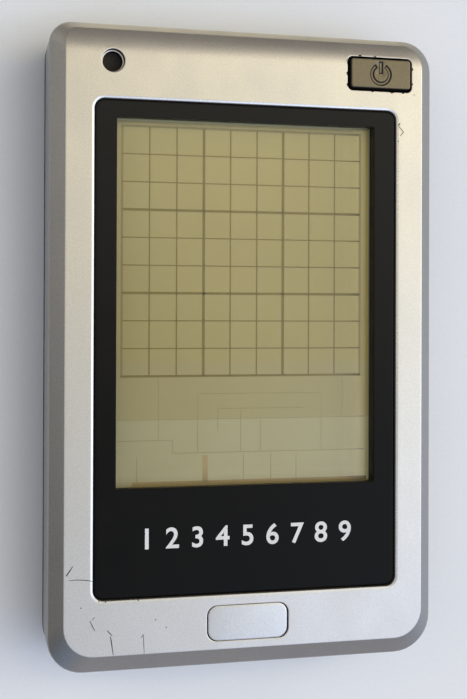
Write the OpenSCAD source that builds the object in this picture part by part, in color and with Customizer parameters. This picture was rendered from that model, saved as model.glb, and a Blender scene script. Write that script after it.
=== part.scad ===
// Handheld electronic number-puzzle game. Two moulded covers hold a recessed touch screen,
// two push buttons, a battery bay with a sliding door, and a stylus in a silo.
// Millimetres. The case lies on its back: X runs across it, Y along it towards the power
// button and Z out of the screen. The origin is the middle of the rear face.

/* [Case] */
// Width of the case
case_w = 78; // [74:0.5:90]
// Length of the case
case_l = 125; // [120:0.5:140]
// Thickness from the rear face to the front face
case_t = 18; // [18:0.1:24]
// Thickness of both covers' walls
wall = 1.8; // [1.4:0.1:2]
// Height of the joint between the two covers
parting_z = 7.6; // [7:0.1:8]
// Corner radius of the outline at the power button's end
head_corner_r = 5.4; // [4.5:0.1:7]
// Corner radius of the outline at the front button's end
foot_corner_r = 7.6; // [6:0.1:10]
// Width of the bevel along the sides of the front face
bevel_w = 2.7; // [2:0.1:3.4]
// Height of the bevel round the front face
bevel_h = 2.2; // [1.6:0.1:2.8]
// Width of the bevel at the front button's end
foot_bevel_w = 3.5; // [2.4:0.1:4.5]
// Corner radius of the flat face at the power button's end
head_face_r = 2.8; // [2.4:0.1:4]
// Corner radius of the flat face at the front button's end
foot_face_r = 5.8; // [3:0.1:7]
// Length over which the face rolls off towards the power button's end
roll_l = 5; // [3:0.1:7]
// How far the rolled end of the face drops
roll_drop = 1.2; // [0.6:0.1:1.6]
// Height where the rear cover's upright wall starts to draw in
rear_wall_z = 5.2; // [4.4:0.1:6]
// How far the rear cover has drawn in at its edge
rear_edge_in = 1.3; // [0.6:0.1:2]
// Height of the rear cover's edge
rear_edge_z = 2; // [1:0.1:3]
// How far the flat rear face lies inside the outline
rear_face_in = 4; // [2.5:0.1:5]
// Thickness of the rear cover's lip inside the front cover
lip_t = 0.8; // [0.6:0.1:1]
// Height of that lip
lip_h = 1.4; // [1:0.1:2]
// Gap between parts that are put together
fit_gap = 0.15; // [0.1:0.05:0.25]

/* [Screen] */
// From the side of the case to the black bezel
bezel_side = 8.4; // [7.5:0.1:12]
// From the power button's end of the case to the bezel
bezel_head = 14.9; // [14:0.1:20]
// From the front button's end of the case to the bezel
bezel_foot = 14.25; // [13.8:0.05:20]
// How far the bezel lies below the front face
bezel_recess = 0.45; // [0.2:0.05:0.6]
// Thickness of the bezel
bezel_t = 2.05; // [1.8:0.05:2.4]
// Corner radius of the bezel
bezel_r = 2.4; // [1:0.1:4]
// Bevel round the bezel's front edge
bezel_edge = 0.3; // [0.1:0.05:0.5]
// Bevel round the front cover's opening for the bezel
opening_edge = 0.3; // [0.1:0.05:0.6]
// How far the bezel's flange reaches under the front cover
bezel_flange = 0.8; // [0.5:0.1:0.8]
// From the side of the bezel to the window
window_side = 4.45; // [3.5:0.05:7]
// From the upper edge of the bezel to the window
window_head = 3.2; // [3:0.1:6]
// From the lower edge of the bezel to the window
window_foot = 21; // [21:0.1:30]
// Corner radius of the window
window_r = 0.4; // [0.2:0.1:1]
// Thickness of the foam gasket between bezel and touch panel
gasket_t = 0.52; // [0.3:0.02:0.8]
// Width of the gasket
gasket_w = 1.5; // [1:0.1:1.7]
// Thickness of the touch panel
touch_t = 1.38; // [1:0.02:1.8]
// Thickness of the tape between touch panel and display
tape_t = 0.2; // [0.1:0.05:0.3]
// Thickness of the display's two glasses together
lcd_t = 2.2; // [1.6:0.1:2.6]
// How far the glass reaches past the window
glass_margin = 2.35; // [2:0.05:3]
// How far the glass reaches past the window's upper edge
glass_head = 3.2; // [3:0.1:3.3]
// Length of the display's contact ledge
ledge_l = 3; // [2.4:0.1:3.4]
// Thickness of the display holder's seat
seat_t = 1.4; // [1:0.1:1.8]
// Thickness of the display holder's wall
holder_t = 1.3; // [1:0.1:1.5]

/* [Buttons] */
// Width of the power button's opening
power_w = 13.6; // [11:0.1:15]
// Length of the power button's opening
power_l = 6.8; // [5.5:0.1:7.2]
// From the side of the case to the middle of the power button
power_side = 11.8; // [11.5:0.1:14]
// From the end of the case to the middle of the power button
power_head = 7.45; // [7.2:0.05:8]
// Gap round the power button
power_gap = 0.35; // [0.15:0.05:0.5]
// How far the power button stands above the face
power_proud = 0.7; // [0.2:0.05:1]
// Corner radius of the power button's opening
power_r = 1; // [0.6:0.1:2]
// Width of the front button's opening
front_w = 16.5; // [12:0.1:20]
// Length of the front button's opening
front_l = 7.6; // [6:0.1:7.8]
// From the end of the case to the middle of the front button
front_foot = 8.6; // [8.4:0.05:9]
// Corner radius of the front button's opening
front_r = 2.1; // [1:0.1:3]
// How far the front button's middle is crowned
front_crown = 0.2; // [0.1:0.05:0.4]
// Gap round the front button
front_gap = 0.2; // [0.15:0.05:0.35]
// Bevel round the buttons' front edges
key_edge = 0.3; // [0.1:0.05:0.5]
// Travel of both buttons
key_travel = 0.8; // [0.5:0.05:0.9]
// Thickness of the buttons' stop flanges
flange_t = 0.9; // [0.7:0.1:1]
// How far the stop flanges reach past the openings
flange_w = 1; // [0.6:0.1:1.2]
// Thickness of the silicone key webs
web_t = 0.4; // [0.3:0.05:0.6]

/* [Sound] */
// Diameter of the sound hole at the face
sound_d = 4.36; // [3:0.02:5]
// Diameter of the sound hole below its step
sound_step_d = 3.9; // [2.6:0.1:4.3]
// Depth of that step below the face
sound_step = 1.2; // [0.6:0.1:1.5]
// From the side of the case to the sound hole
sound_side = 12; // [10:0.1:14]
// Diameter of the buzzer
buzzer_d = 9.6; // [8:0.1:10]
// Height of the buzzer
buzzer_h = 5.5; // [4:0.1:5.6]

/* [Boards] */
// Thickness of the main board
board_t = 1.6; // [1:0.1:1.8]
// Gap between the main board and the covers
board_gap = 0.5; // [0.3:0.05:0.8]
// Thickness of the front button's board
key_board_t = 0.8; // [0.6:0.1:0.9]
// How far the front button's board reaches past the button on each side
key_side = 6.8; // [6:0.1:8]
// From the end of that board to its locating pins
key_pin_in = 2; // [1.6:0.1:2.4]
// Length of that board under its flat cable
ribbon_land = 1.8; // [1.2:0.1:2.4]
// From the screen's lower edge to the controller
chip_up = 34; // [25:0.5:45]
// From the middle of the case to the controller
chip_left = 6; // [0:0.5:10]
// Gap between the controller and the parts beside it
chip_gap = 1.5; // [1:0.1:3]
// Length of the crystal's can
crystal_l = 8; // [6:0.1:9]
// Diameter of the crystal's can
crystal_d = 3; // [2:0.1:3.2]
// Diameter and height of the capacitor
capacitor_d = 5; // [4:0.1:6]
// Diameter of the controller's resin drop
chip_d = 14; // [10:0.5:18]
// Height of the controller's resin drop
chip_h = 1.8; // [1.2:0.1:2.4]

/* [Batteries] */
// Diameter of a battery cell
cell_d = 10.5; // [9.5:0.1:10.5]
// Length of a battery cell with its nub
cell_l = 44.5; // [42:0.1:46]
// Room round a cell
cell_gap = 0.2; // [0.1:0.05:0.3]
// Thickness of the battery door
door_t = 1.4; // [1.2:0.1:1.4]
// From the end of the case to the battery bay
bay_foot = 6.7; // [6.4:0.1:7]
// Thickness of the battery bay's walls
bay_wall = 0.8; // [0.6:0.05:0.8]
// Thickness of the contacts' sheet
contact_t = 0.3; // [0.2:0.05:0.4]
// Height of a plus contact's dimple
dimple_h = 0.7; // [0.4:0.1:1]
// Height of a minus contact's bow
bow_h = 3.4; // [2.5:0.1:4]

/* [Stylus] */
// Diameter of the stylus
stylus_d = 4; // [3.4:0.1:4.2]
// Gap between the stylus and its silo
stylus_gap = 0.08; // [0.05:0.01:0.1]
// From the side of the case to the silo
silo_side = 12.6; // [12:0.1:16]
// Thickness of the silo's wall
silo_wall = 0.8; // [0.6:0.1:0.9]

/* [Screws] */
// From the side of the case to the screws
screw_side = 5.6; // [5.5:0.05:5.8]
// From the power button's end to the case screws
screw_head_in = 16; // [15.5:0.1:18]
// From the front button's end to the case screws
screw_foot_in = 10.5; // [9:0.1:12]
// Diameter of the screws' shanks
screw_d = 2; // [1.6:0.1:2.2]
// Diameter of the screws' heads
screw_cap_d = 3.6; // [3:0.1:4]
// Outside diameter of the front cover's bosses
boss_d = 3.8; // [3.4:0.1:3.8]

/* [Hidden] */
$fn = 64;
// Facets round a hull's corners
hull_fn = 72;
// Overlap that makes a cut clean
eps = 0.05;
// Thickness of the slices that a hull joins
slice = 0.01;

silver = "#c9c6bf";
charcoal = "#3a3b3d";
black = "#1b1b1c";
olive = "#8f8a62";
rubber_grey = "#6d675a";
board_green = "#2f5a3c";
carbon = "#262626";
metal = "#c4c6c8";

half_w = case_w / 2;
half_l = case_l / 2;

// Levels of the screen's stack, from the face down
roof_z = case_t - wall;
bevel_z = case_t - bevel_h;
bezel_z = case_t - bezel_recess;
bezel_under_z = bezel_z - bezel_t;
touch_z = bezel_under_z - gasket_t;
touch_under_z = touch_z - touch_t;
lcd_z = touch_under_z - tape_t;
lcd_under_z = lcd_z - lcd_t;
board_z = lcd_under_z - seat_t;
board_under_z = board_z - board_t;

// Outlines of the screen's stack
bezel_w = case_w - 2 * bezel_side;
bezel_y1 = half_l - bezel_head;
bezel_y0 = -half_l + bezel_foot;
window_w = bezel_w - 2 * window_side;
window_y1 = bezel_y1 - window_head;
window_y0 = bezel_y0 + window_foot;
lcd_w = window_w + 2 * glass_margin;
lcd_y1 = window_y1 + glass_head;
lcd_y0 = window_y0 - glass_margin;
holder_gap = 0.2;
holder_seat_in = 2;
zebra_in = 3;
zebra_side = 0.3;
holder_w = lcd_w + 2 * (holder_gap + holder_t);
holder_y1 = lcd_y1 + holder_gap + holder_t;
holder_y0 = lcd_y0 - holder_gap - holder_t;

// The face's rolled end
bevel_angle = atan2(bevel_h, bevel_w);
roll_r = (roll_l * roll_l + roll_drop * roll_drop) / (2 * roll_drop);
roll_y = half_l - bevel_w * (1 - roll_drop / bevel_h) - roll_l;

// Battery bay, from the door inwards
cell_z = door_t + cell_gap + cell_d / 2;
bay_in_z = cell_z + cell_d / 2 + cell_gap / 2;
bay_z = bay_in_z + bay_wall;
bay_in_w = cell_l + 2 * contact_t + dimple_h + bow_h;
bay_w = bay_in_w + 2 * bay_wall;
bay_in_y0 = -half_l + bay_foot;
bay_in_y1 = bay_in_y0 + 2 * (cell_d + 1.5 * cell_gap);
bay_y0 = bay_in_y0 - bay_wall;
bay_y1 = bay_in_y1 + bay_wall;
cell_pitch = (bay_in_y1 - bay_in_y0) / 2;
cell_ys = [bay_in_y1 - cell_pitch / 2, bay_in_y0 + cell_pitch / 2];

// Battery door and its runway
tongue_w = 1.2;
tongue_z = door_t / 2;
door_w = bay_in_w;
door_y1 = bay_y1 + 1.5;
runway_t = 1.8;
runway_side = 2.4;
grip_n = 6;
grip_pitch = 1.8;
grip_w = 0.9;
grip_depth = 0.4;
grip_l = 16;

// Contacts, as wide and as high as the cells' ends allow
contact_w = cell_d - 2.5;
contact_h = contact_w;

// Main board, with an ear on each side of the battery bay
board_w = case_w - 2 * (wall + fit_gap + lip_t + board_gap);
board_y1 = half_l - wall - fit_gap - lip_t - board_gap / 2;
board_y0 = bay_y1 + board_gap;
board_r = 2;
ear_x = bay_w / 2 + board_gap;
tab_w = 2.4;
tab_l = 2.5;
tab_ys = [cell_ys[0], cell_ys[1] + contact_w / 2 + tab_w / 2];
ear_y0 = tab_ys[1] - tab_w;
crystal_x = -chip_left + chip_d / 2 + chip_gap + crystal_d / 2;
capacitor_x = -chip_left - chip_d / 2 - chip_gap - capacitor_d / 2;

// Flat cables: the touch panel's on one side of the middle, the front button's on the other
cable_x = 3;
tail_t = 0.2;
tail_w = 8;
ribbon_t = 0.3;
ribbon_w = 6;

// Keys
power_x = half_w - power_side;
power_y = half_l - power_head;
front_y = -half_l + front_foot;
flange_z = roof_z - 0.2;
flange_under_z = flange_z - flange_t;
mat_base_t = 0.3;
mat_margin = 0.8;
pill_t = 0.4;
pill_inset = 2.2;
pill_air = key_travel + 0.05;
key_board_z = flange_under_z - pill_air - pill_t;
key_board_w = front_w + 2 * key_side;
key_board_y0 = front_y - front_l / 2 - mat_margin;
key_board_y1 = front_y + front_l / 2 + mat_margin + ribbon_land;
key_pin_x = key_board_w / 2 - key_pin_in;
key_pin_d = 1.4;
key_boss_d = 2.8;

// Sound
sound_x = -half_w + sound_side;
sound_y = power_y;
collar_t = 1;
collar_gap = 0.2;
buzzer_z = board_z + buzzer_h;
port_d = 1;
port_h = 1.2;

// Stylus and silo
silo_x = half_w - silo_side;
silo_d = stylus_d + 2 * stylus_gap;
silo_up = 0.6;
silo_foot = 4;
stylus_foot = 2;
stylus_in = 0.6;
silo_z = wall + silo_d / 2 + silo_up;
silo_y0 = bay_y1 + silo_foot;
stylus_y1 = half_l - stylus_in;
stylus_y0 = silo_y0 + stylus_foot;
scoop_d = 9;

// Screws
board_screw_foot = 9;
board_screw_head = 16;
post_wall = 1.2;
sink_gap = 0.3;
screw_x = half_w - screw_side;
case_screws_at = [
    for (x = [-screw_x, screw_x], y = [-half_l + screw_foot_in, half_l - screw_head_in]) [x, y]
];
board_screw_ys = [board_y0 + board_screw_foot, half_l - screw_head_in - board_screw_head];
board_screws_at = [for (x = [-screw_x, screw_x], y = board_screw_ys) [x, y]];
screw_play = 0.05;
screw_cap_h = 1.2;
case_screw_l = 8;
board_screw_l = 5;
post_z = board_under_z - 0.2;
post_d = screw_cap_d + 2 * post_wall;
post_web = 2;
screw_sink_d = screw_cap_d + 2 * sink_gap;

// Flat outlines

// Rounded rectangle with its own corner radius at each end
module plate(w, l, head_r, foot_r) {
    translate([-w / 2, -l / 2 + foot_r]) square([w, l - head_r - foot_r]);
    translate([-w / 2 + foot_r, -l / 2]) square([w - 2 * foot_r, l / 2]);
    translate([-w / 2 + head_r, 0]) square([w - 2 * head_r, l / 2]);
    for (side = [-1, 1]) {
        translate([side * (w / 2 - head_r), l / 2 - head_r]) circle(head_r);
        translate([side * (w / 2 - foot_r), -l / 2 + foot_r]) circle(foot_r);
    }
}

// Rounded rectangle from y0 to y1, across the middle
module span(w, y0, y1, r) {
    translate([0, (y0 + y1) / 2]) plate(w, y1 - y0, r, r);
}

// Outline of the case, drawn in on every side
module outline(inset) {
    plate(case_w - 2 * inset, case_l - 2 * inset,
        max(head_corner_r - inset, 1), max(foot_corner_r - inset, 1));
}

// Outline of the flat face, drawn in as the wall behind the bevel is
module face_outline(inset) {
    side = bevel_w + inset * tan(bevel_angle / 2);
    foot = foot_bevel_w + inset * tan(bevel_angle / 2);
    translate([0, (foot - side) / 2])
        plate(case_w - 2 * side, case_l - side - foot,
            max(head_face_r - inset, 0.6), max(foot_face_r - inset, 0.6));
}

module slab(z0, z1) {
    translate([0, 0, z0]) linear_extrude(z1 - z0) children();
}

// Covers

// Body of the front cover from z0 up, drawn in by a wall where inset says so
module front_form(inset, z0) {
    foot_z = bevel_z - inset * tan((90 - bevel_angle) / 2);
    top_z = case_t - inset;
    difference() {
        hull() {
            slab(z0, foot_z) outline(inset, $fn = hull_fn);
            slab(top_z - slice, top_z) face_outline(inset, $fn = hull_fn);
        }
        translate([0, roll_y, case_t - roll_r]) difference() {
            translate([-case_w, 0, 0]) cube([2 * case_w, 2 * roll_r, 2 * roll_r]);
            rotate([0, 90, 0]) cylinder(r = roll_r - inset, h = 3 * case_w, center = true, $fn = 128);
        }
    }
}

// Body of the rear cover up to z1: an upright wall that draws in to the flat rear face
module rear_form(inset, z1) {
    hull() {
        slab(rear_wall_z, z1) outline(inset, $fn = hull_fn);
        slab(rear_edge_z + inset / 2, rear_edge_z + inset / 2 + slice)
            outline(rear_edge_in + inset, $fn = hull_fn);
        slab(inset, inset + slice) outline(rear_face_in + inset / 2, $fn = hull_fn);
    }
}

module bezel_outline(grow) {
    span(bezel_w + 2 * grow, bezel_y0 - grow, bezel_y1 + grow, bezel_r + grow);
}

module window_outline(grow) {
    span(window_w + 2 * grow, window_y0 - grow, window_y1 + grow, window_r + grow);
}

module power_outline(grow) {
    translate([power_x, power_y])
        plate(power_w + 2 * grow, power_l + 2 * grow, power_r + grow, power_r + grow);
}

module front_outline(grow) {
    translate([0, front_y])
        plate(front_w + 2 * grow, front_l + 2 * grow, front_r + grow, front_r + grow);
}

// A boss that hangs from the front cover's roof down to z0
module boss(d, z0) {
    translate([0, 0, z0]) cylinder(d = d, h = roof_z + wall / 3 - z0);
}

module front_cover() color(silver) difference() {
    union() {
        difference() {
            front_form(0, parting_z);
            front_form(wall, parting_z - eps);
        }
        for (p = case_screws_at) translate(p) boss(boss_d, post_z);
        for (p = board_screws_at) translate(p) boss(boss_d, board_z);
        for (side = [-1, 1]) translate([side * key_pin_x, front_y]) {
            boss(key_boss_d, key_board_z);
            boss(key_pin_d, key_board_z - key_board_t);
        }
        translate([sound_x, sound_y]) boss(sound_d + 2 * collar_t, buzzer_z + collar_gap);
    }
    slab(bezel_under_z, case_t + eps) bezel_outline(fit_gap);
    hull() {
        slab(case_t - opening_edge - slice, case_t - opening_edge) bezel_outline(fit_gap, $fn = hull_fn);
        slab(case_t, case_t + slice) bezel_outline(fit_gap + opening_edge, $fn = hull_fn);
    }
    slab(bezel_under_z, case_t + eps) power_outline(0);
    slab(bezel_under_z, case_t + eps) front_outline(0);
    translate([sound_x, sound_y, board_z]) cylinder(d = sound_step_d, h = case_t);
    translate([sound_x, sound_y, case_t - sound_step]) cylinder(d = sound_d, h = case_t);
    for (p = case_screws_at) translate([p.x, p.y, post_z - eps])
        cylinder(d = screw_d + 2 * screw_play, h = case_screw_l - post_web + 0.5);
    for (p = board_screws_at) translate([p.x, p.y, board_z - eps])
        cylinder(d = screw_d + 2 * screw_play, h = board_screw_l - board_t + 0.5);
}

// Path of the battery door, wider by grow, with the tongue inside the lip that holds it
module door_path(grow, y1) {
    for (row = [[0, tongue_z + grow, door_w / 2], [tongue_z, door_t, door_w / 2 + tongue_w]])
        translate([-row[2] - grow, -case_l, row[0] - (row[0] == 0 ? eps : 0)])
            cube([
                2 * (row[2] + grow), case_l + y1 + grow,
                row[1] - row[0] + (row[0] == 0 ? eps : grow)
            ]);
}

module bay_block(w, y0, y1, z0, z1) {
    translate([-w / 2, y0, z0]) cube([w, y1 - y0, z1 - z0]);
}

module rear_cover() color(charcoal) difference() {
    union() {
        difference() {
            rear_form(0, parting_z);
            rear_form(wall, parting_z + eps);
        }
        difference() {
            slab(parting_z - lip_h, parting_z + lip_h) outline(wall + fit_gap);
            slab(parting_z - lip_h - eps, parting_z + lip_h + eps) outline(wall + fit_gap + lip_t);
        }
        intersection() {
            rear_form(0, parting_z);
            bay_block(bay_w + 2 * runway_side, -half_l, door_y1 + runway_side, 0, door_t + runway_t);
        }
        bay_block(bay_w, bay_y0, bay_y1, door_t, bay_z);
        for (p = case_screws_at) translate([p.x, p.y, wall / 2])
            cylinder(d = post_d, h = post_z - wall / 2);
        intersection() {
            rear_form(0, parting_z);
            translate([silo_x, silo_y0, silo_z]) rotate([-90, 0, 0])
                cylinder(d = silo_d + 2 * silo_wall, h = case_l);
        }
    }
    door_path(fit_gap, door_y1);
    bay_block(bay_in_w, bay_in_y0, bay_in_y1, 0, bay_in_z);
    for (y = tab_ys) contact_tab(y, holder_gap);
    translate([silo_x, silo_y0 + silo_wall, silo_z]) rotate([-90, 0, 0])
        cylinder(d = silo_d, h = case_l);
    translate([silo_x, half_l + 1, 0]) sphere(d = scoop_d);
    for (p = case_screws_at) translate([p.x, p.y, -eps]) {
        cylinder(d = screw_sink_d, h = post_z - post_web + eps);
        cylinder(d = screw_d + 4 * screw_play, h = case_t);
    }
}

module battery_door() color(charcoal) difference() {
    intersection() {
        rear_form(0, parting_z);
        door_path(0, door_y1);
    }
    for (i = [0 : grip_n - 1])
        translate([-grip_l / 2, door_y1 - 3 - i * grip_pitch - grip_w, -eps])
            cube([grip_l, grip_w, grip_depth + eps]);
}

// Screen

module screen_bezel() color(black) difference() {
    union() {
        hull() {
            slab(bezel_under_z, bezel_z - bezel_edge) bezel_outline(0, $fn = hull_fn);
            slab(bezel_z - slice, bezel_z) bezel_outline(-bezel_edge, $fn = hull_fn);
        }
        slab(bezel_under_z, roof_z) bezel_outline(bezel_flange);
    }
    slab(bezel_under_z - eps, bezel_z + eps) window_outline(0);
}

module screen_gasket() color(carbon) difference() {
    slab(touch_z, bezel_under_z) window_outline(0.5 + gasket_w);
    slab(touch_z - eps, bezel_under_z + eps) window_outline(0.5);
}

module glass(z0, z1, y1) {
    slab(z0, z1) span(lcd_w, lcd_y0, y1, 0.5);
}

module touch_panel() color("#dfe3df", 0.4) glass(touch_under_z, touch_z, lcd_y1);

module panel_tape() color(black) difference() {
    glass(lcd_z, touch_under_z, lcd_y1);
    slab(lcd_z - eps, touch_under_z + eps) window_outline(0.5);
}

// Flat cable of the touch panel: out over the holder's wall and down to the main board
module touch_tail() color("#b5793a") {
    drop_y = holder_y0 - fit_gap;
    foot_y = board_y0 + fit_gap;
    translate([-cable_x - tail_w, 0, 0]) {
        translate([0, drop_y - tail_t, touch_under_z - tail_t])
            cube([tail_w, lcd_y0 - drop_y + tail_t, tail_t]);
        translate([0, drop_y - tail_t, board_z]) cube([tail_w, tail_t, touch_under_z - board_z]);
        translate([0, foot_y, board_z]) cube([tail_w, drop_y - foot_y, tail_t]);
    }
}

module lcd_panel() color(olive) union() {
    glass(lcd_z - lcd_t / 2, lcd_z, lcd_y1);
    glass(lcd_under_z, lcd_z - lcd_t / 2, lcd_y1 - ledge_l);
}

module lcd_holder() color("#d9d7cf") difference() {
    slab(board_z, touch_z - 0.1) span(holder_w, holder_y0, holder_y1, 1.5);
    slab(lcd_under_z, touch_z)
        span(lcd_w + 2 * holder_gap, lcd_y0 - holder_gap, lcd_y1 + holder_gap, 0.6);
    slab(board_z - eps, touch_z)
        span(window_w - 2 * holder_seat_in, window_y0 + holder_seat_in, window_y1 - holder_seat_in, 2);
    slab(board_z - eps, touch_z) zebra_outline(holder_gap);
    translate([-cable_x - tail_w - 2 * fit_gap, holder_y0 - eps, touch_under_z - 2 * tail_t])
        cube([tail_w + 4 * fit_gap, holder_t + holder_gap + 2 * eps, case_t]);
}

module zebra_outline(grow) {
    zebra_y0 = lcd_y1 - ledge_l + zebra_side;
    zebra_y1 = lcd_y1 - holder_gap;
    span(lcd_w - 2 * zebra_in + 2 * grow, zebra_y0 - grow, zebra_y1 + grow, 0.2);
}

module zebra_strip() color("#8e5a62") slab(board_z, lcd_z - lcd_t / 2) zebra_outline(0);

// Boards and what they carry

module main_board() color(board_green) difference() {
    slab(board_under_z, board_z) union() {
        span(board_w, board_y0, board_y1, board_r);
        for (side = [-1, 1])
            translate([side < 0 ? -board_w / 2 : ear_x, ear_y0])
                square([board_w / 2 - ear_x, board_y0 - ear_y0 + board_r]);
    }
    for (p = board_screws_at) translate([p.x, p.y, 0])
        cylinder(d = screw_d + 4 * screw_play, h = case_t);
    for (p = case_screws_at) translate([p.x, p.y, 0])
        cylinder(d = boss_d + 2 * board_gap, h = case_t);
}

module controller_chip() color(black) {
    dome_r = (chip_d * chip_d / 4 + chip_h * chip_h) / (2 * chip_h);
    translate([-chip_left, window_y0 + chip_up, board_under_z - chip_h]) intersection() {
        translate([0, 0, dome_r]) sphere(r = dome_r, $fn = 96);
        cylinder(d = 2 * chip_d, h = chip_h);
    }
}

module crystal() color(metal)
    translate([crystal_x, window_y0 + chip_up, board_under_z - crystal_d / 2])
        rotate([90, 0, 0]) cylinder(d = crystal_d, h = crystal_l, center = true);

module capacitor() color("#2d3a63")
    translate([capacitor_x, window_y0 + chip_up, 0])
        slab(board_under_z - capacitor_d, board_under_z) circle(d = capacitor_d);

module buzzer() color(black) translate([sound_x, sound_y, board_z]) difference() {
    cylinder(d = buzzer_d, h = buzzer_h);
    translate([0, 0, buzzer_h - port_h]) cylinder(d = port_d, h = buzzer_h);
}

// A key's cap in its opening, with a stop flange that reaches past the opening's sides
module key_cap(w, l, r, gap, top_z, foot_z) {
    top_in = gap + key_edge;
    top_r = max(r - top_in, 0.2);
    hull() {
        slab(flange_under_z, top_z - key_edge)
            plate(w - 2 * gap, l - 2 * gap, r - gap, r - gap, $fn = hull_fn);
        slab(top_z - slice, top_z)
            plate(w - 2 * top_in, l - 2 * top_in, top_r, top_r, $fn = hull_fn);
    }
    slab(flange_under_z, flange_z) plate(w + 2 * flange_w, l - 2, 0.6, 0.6);
    if (foot_z < flange_under_z) slab(foot_z, flange_under_z) plate(w - 2, l - 2, 0.6, 0.6);
}

// Silicone web that carries a cap: a flat base on the board and a sloping wall up to the cap
module key_mat(w, l, base_z, cap_z) {
    difference() {
        union() {
            slab(base_z, base_z + mat_base_t) plate(w + 2 * mat_margin, l + 2 * mat_margin, 1, 1);
            hull() {
                slab(base_z, base_z + slice) plate(w - 0.4, l - 0.4, 1, 1, $fn = 24);
                slab(cap_z - slice, cap_z) plate(w - 2, l - 2, 0.6, 0.6, $fn = 24);
            }
        }
        hull() {
            slab(base_z - eps, base_z)
                plate(w - 0.4 - 2 * web_t, l - 0.4 - 2 * web_t, 0.7, 0.7, $fn = 24);
            slab(cap_z, cap_z + eps)
                plate(w - 2 - 2 * web_t, l - 2 - 2 * web_t, 0.4, 0.4, $fn = 24);
        }
    }
}

module key_pill(w, l, base_z, cap_z) {
    slab(base_z + pill_air, cap_z) plate(w - 2 * pill_inset, l - 2 * pill_inset, 0.5, 0.5);
}

power_foot_z = board_z + pill_air + pill_t;
front_foot_z = flange_under_z;

module power_button() color(rubber_grey) translate([power_x, power_y, 0])
    key_cap(power_w, power_l, power_r, power_gap, case_t + power_proud, power_foot_z);

module power_key_pill() color(carbon) translate([power_x, power_y, 0])
    key_pill(power_w, power_l, board_z, power_foot_z);

module power_key_mat() color(rubber_grey) translate([power_x, power_y, 0])
    key_mat(power_w, power_l, board_z, power_foot_z);

module front_button() color(silver) translate([0, front_y, 0]) intersection() {
    key_cap(front_w, front_l, front_r, front_gap, case_t + front_crown, front_foot_z);
    crown_r = (front_w * front_w / 4 + front_crown * front_crown) / (2 * front_crown);
    translate([0, 0, case_t + front_crown - crown_r]) sphere(r = crown_r, $fn = 128);
}

module front_key_pill() color(carbon) translate([0, front_y, 0])
    key_pill(front_w, front_l, key_board_z, front_foot_z);

module front_key_mat() color(rubber_grey) translate([0, front_y, 0])
    key_mat(front_w, front_l, key_board_z, front_foot_z);

module key_board() color(board_green) difference() {
    slab(key_board_z - key_board_t, key_board_z) span(key_board_w, key_board_y0, key_board_y1, 1);
    for (side = [-1, 1]) translate([side * key_pin_x, front_y, 0])
        cylinder(d = key_pin_d + 4 * screw_play, h = case_t);
}

// Flat cable from the front button's board over the battery bay to the main board
module key_ribbon() color("#8d8d94") {
    start_y = key_board_y1 - ribbon_land + fit_gap;
    drop_y = board_y0 + fit_gap;
    translate([cable_x, 0, 0]) {
        translate([0, start_y, key_board_z]) cube([ribbon_w, drop_y - start_y + ribbon_t, ribbon_t]);
        translate([0, drop_y, board_z]) cube([ribbon_w, ribbon_t, key_board_z - board_z]);
        translate([0, drop_y, board_z]) cube([ribbon_w, holder_y0 - fit_gap - drop_y, ribbon_t]);
    }
}

// Batteries and their contacts

// One cell along X with its nub towards the side given
module cell(y, side) {
    nub_d = 3.6;
    nub_h = 1;
    plus_x = side * (bay_in_w / 2 - contact_t - dimple_h);
    translate([plus_x, y, cell_z]) rotate([0, -side * 90, 0]) {
        cylinder(d = nub_d, h = nub_h + eps);
        translate([0, 0, nub_h]) cylinder(d = cell_d, h = cell_l - nub_h);
    }
}

module upper_battery() color("#b98a3c") cell(cell_ys[0], -1);

module lower_battery() color("#b98a3c") cell(cell_ys[1], 1);

module contact_sheet(y0, y1, side) {
    translate([side * (bay_in_w / 2 - contact_t / 2), (y0 + y1) / 2, cell_z])
        cube([contact_t, y1 - y0, contact_h], center = true);
}

module contact_dimple(y, side) {
    translate([side * (bay_in_w / 2 - contact_t), y, cell_z]) rotate([0, -side * 90, 0])
        cylinder(d1 = 4, d2 = 2.6, h = dimple_h);
}

// Bowed strip that presses on a cell's flat end
module contact_bow(y, side) {
    chord = contact_w - 1;
    rise = bow_h - fit_gap;
    r = (chord * chord / 4 + rise * rise) / (2 * rise);
    translate([side * (bay_in_w / 2 - contact_t), y, cell_z - contact_h / 2 + 1])
        linear_extrude(contact_h - 2) intersection() {
            translate([side * (r - rise), 0]) difference() {
                circle(r);
                circle(r - contact_t);
            }
            translate([side < 0 ? 0 : -rise, -contact_w]) square([rise, 2 * contact_w]);
        }
}

// Solder tab from a contact through the bay's wall onto the main board's ear
module contact_tab(y, grow) {
    tab_x = ear_x + tab_l;
    translate([-tab_x - grow, y - tab_w / 2 - grow, board_z - grow / 4])
        cube([tab_x - bay_in_w / 2 + contact_t + grow, tab_w + 2 * grow, contact_t + grow]);
}

module plus_contact() color(metal) {
    contact_sheet(cell_ys[0] - contact_w / 2, cell_ys[0] + contact_w / 2, -1);
    contact_dimple(cell_ys[0], -1);
    contact_tab(tab_ys[0], 0);
}

module minus_contact() color(metal) {
    contact_sheet(cell_ys[1] - contact_w / 2, tab_ys[1] + tab_w / 2, -1);
    contact_bow(cell_ys[1], -1);
    contact_tab(tab_ys[1], 0);
}

module bridge_contact() color(metal) {
    contact_sheet(cell_ys[1] - contact_w / 2, cell_ys[0] + contact_w / 2, 1);
    contact_bow(cell_ys[0], 1);
    contact_dimple(cell_ys[1], 1);
}

// Stylus and screws

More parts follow.
